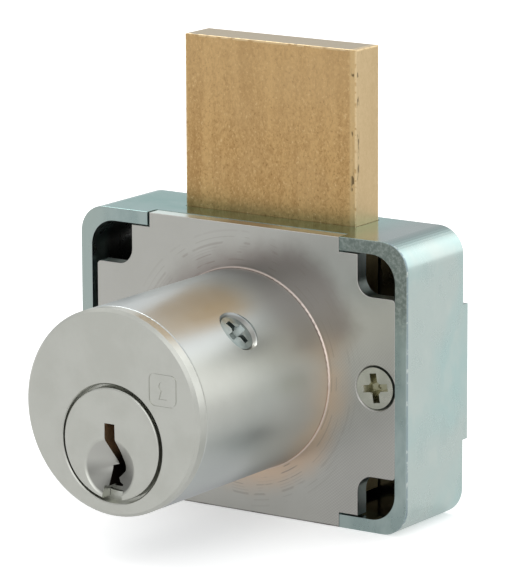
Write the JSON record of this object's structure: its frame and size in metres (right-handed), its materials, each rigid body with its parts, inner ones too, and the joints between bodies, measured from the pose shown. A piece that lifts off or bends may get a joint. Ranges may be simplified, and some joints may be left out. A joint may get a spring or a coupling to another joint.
{
  "type": "drawer deadbolt lock",
  "caption": "Surface-mounted drawer lock: pin tumbler cylinder in a round barrel, plated case and a flat brass deadbolt that a crank throws upward.",
  "frame": {"origin": "on the barrel's axis, in the face of the mounting plate that bears on the back of the drawer front", "axes": "+Z the way the bolt is thrown, -Y along the barrel towards the key, +X to the right of a person facing the keyhole"},
  "size_m": [0.051, 0.0444, 0.0613],
  "materials": {
    "clear_zinc": "die-cast zinc with clear blue zinc plating, satin and mottled",
    "satin_nickel": "satin nickel plating, fine turned grain",
    "bright_zinc": "bright zinc-plated steel",
    "brushed_brass": "plain brushed brass",
    "turned_brass": "turned brass",
    "spring_steel": "drawn spring wire"
  },
  "bodies": {
    "lock": {"lock_case": "clear_zinc", "barrel_housing": "satin_nickel", "cylinder_shell": "satin_nickel", "chamber_cover": "turned_brass", "cylinder_screw": "bright_zinc", "plate_screws": "bright_zinc", "pin_spring_1": "spring_steel", "pin_spring_2": "spring_steel", "pin_spring_3": "spring_steel", "pin_spring_4": "spring_steel", "pin_spring_5": "spring_steel"},
    "plug": {"plug": "satin_nickel", "plug_clip": "spring_steel", "crank_arm": "bright_zinc", "crank_pin": "bright_zinc", "crank_screw": "bright_zinc"},
    "bolt": {"bolt": "brushed_brass"},
    "driver_pin_1": {"driver_pin_1": "turned_brass"},
    "key_pin_1": {"key_pin_1": "turned_brass"},
    "driver_pin_2": {"driver_pin_2": "turned_brass"},
    "key_pin_2": {"key_pin_2": "turned_brass"},
    "driver_pin_3": {"driver_pin_3": "turned_brass"},
    "key_pin_3": {"key_pin_3": "turned_brass"},
    "driver_pin_4": {"driver_pin_4": "turned_brass"},
    "key_pin_4": {"key_pin_4": "turned_brass"},
    "driver_pin_5": {"driver_pin_5": "turned_brass"},
    "key_pin_5": {"key_pin_5": "turned_brass"}
  },
  "joints": [
    {"name": "plug_turn", "type": "hinge", "parent": "lock", "child": "plug", "pos_m": [0, 0, -0.00397], "axis": [0, 1, 0], "range_deg": [0, 180]},
    {"name": "bolt_throw", "type": "slide", "parent": "lock", "child": "bolt", "axis": [0, 0, 1], "range_m": [0, 0.0127]},
    {"name": "driver_pin_1_slide", "type": "slide", "parent": "lock", "child": "driver_pin_1", "axis": [0, 0, 1], "range_m": [-0.00322, 0], "stiffness_N_per_m": 150, "deforming": ["pin_spring_1"]},
    {"name": "key_pin_1_slide", "type": "slide", "parent": "plug", "child": "key_pin_1", "axis": [0, 0, 1], "range_m": [-0.00322, 0]},
    {"name": "driver_pin_2_slide", "type": "slide", "parent": "lock", "child": "driver_pin_2", "axis": [0, 0, 1], "range_m": [-0.00222, 0], "stiffness_N_per_m": 150, "deforming": ["pin_spring_2"]},
    {"name": "key_pin_2_slide", "type": "slide", "parent": "plug", "child": "key_pin_2", "axis": [0, 0, 1], "range_m": [-0.00222, 0]},
    {"name": "driver_pin_3_slide", "type": "slide", "parent": "lock", "child": "driver_pin_3", "axis": [0, 0, 1], "range_m": [-0.00282, 0], "stiffness_N_per_m": 150, "deforming": ["pin_spring_3"]},
    {"name": "key_pin_3_slide", "type": "slide", "parent": "plug", "child": "key_pin_3", "axis": [0, 0, 1], "range_m": [-0.00282, 0]},
    {"name": "driver_pin_4_slide", "type": "slide", "parent": "lock", "child": "driver_pin_4", "axis": [0, 0, 1], "range_m": [-0.00162, 0], "stiffness_N_per_m": 150, "deforming": ["pin_spring_4"]},
    {"name": "key_pin_4_slide", "type": "slide", "parent": "plug", "child": "key_pin_4", "axis": [0, 0, 1], "range_m": [-0.00162, 0]},
    {"name": "driver_pin_5_slide", "type": "slide", "parent": "lock", "child": "driver_pin_5", "axis": [0, 0, 1], "range_m": [-0.00362, 0], "stiffness_N_per_m": 150, "deforming": ["pin_spring_5"]},
    {"name": "key_pin_5_slide", "type": "slide", "parent": "plug", "child": "key_pin_5", "axis": [0, 0, 1], "range_m": [-0.00362, 0]}
  ],
  "couplings": [
    {"joint": "plug_turn", "follows": "bolt_throw", "rad_per_m": 247.37},
    {"joint": "key_pin_1_slide", "follows": "driver_pin_1_slide", "ratio": 1},
    {"joint": "key_pin_2_slide", "follows": "driver_pin_2_slide", "ratio": 1},
    {"joint": "key_pin_3_slide", "follows": "driver_pin_3_slide", "ratio": 1},
    {"joint": "key_pin_4_slide", "follows": "driver_pin_4_slide", "ratio": 1},
    {"joint": "key_pin_5_slide", "follows": "driver_pin_5_slide", "ratio": 1}
  ]
}
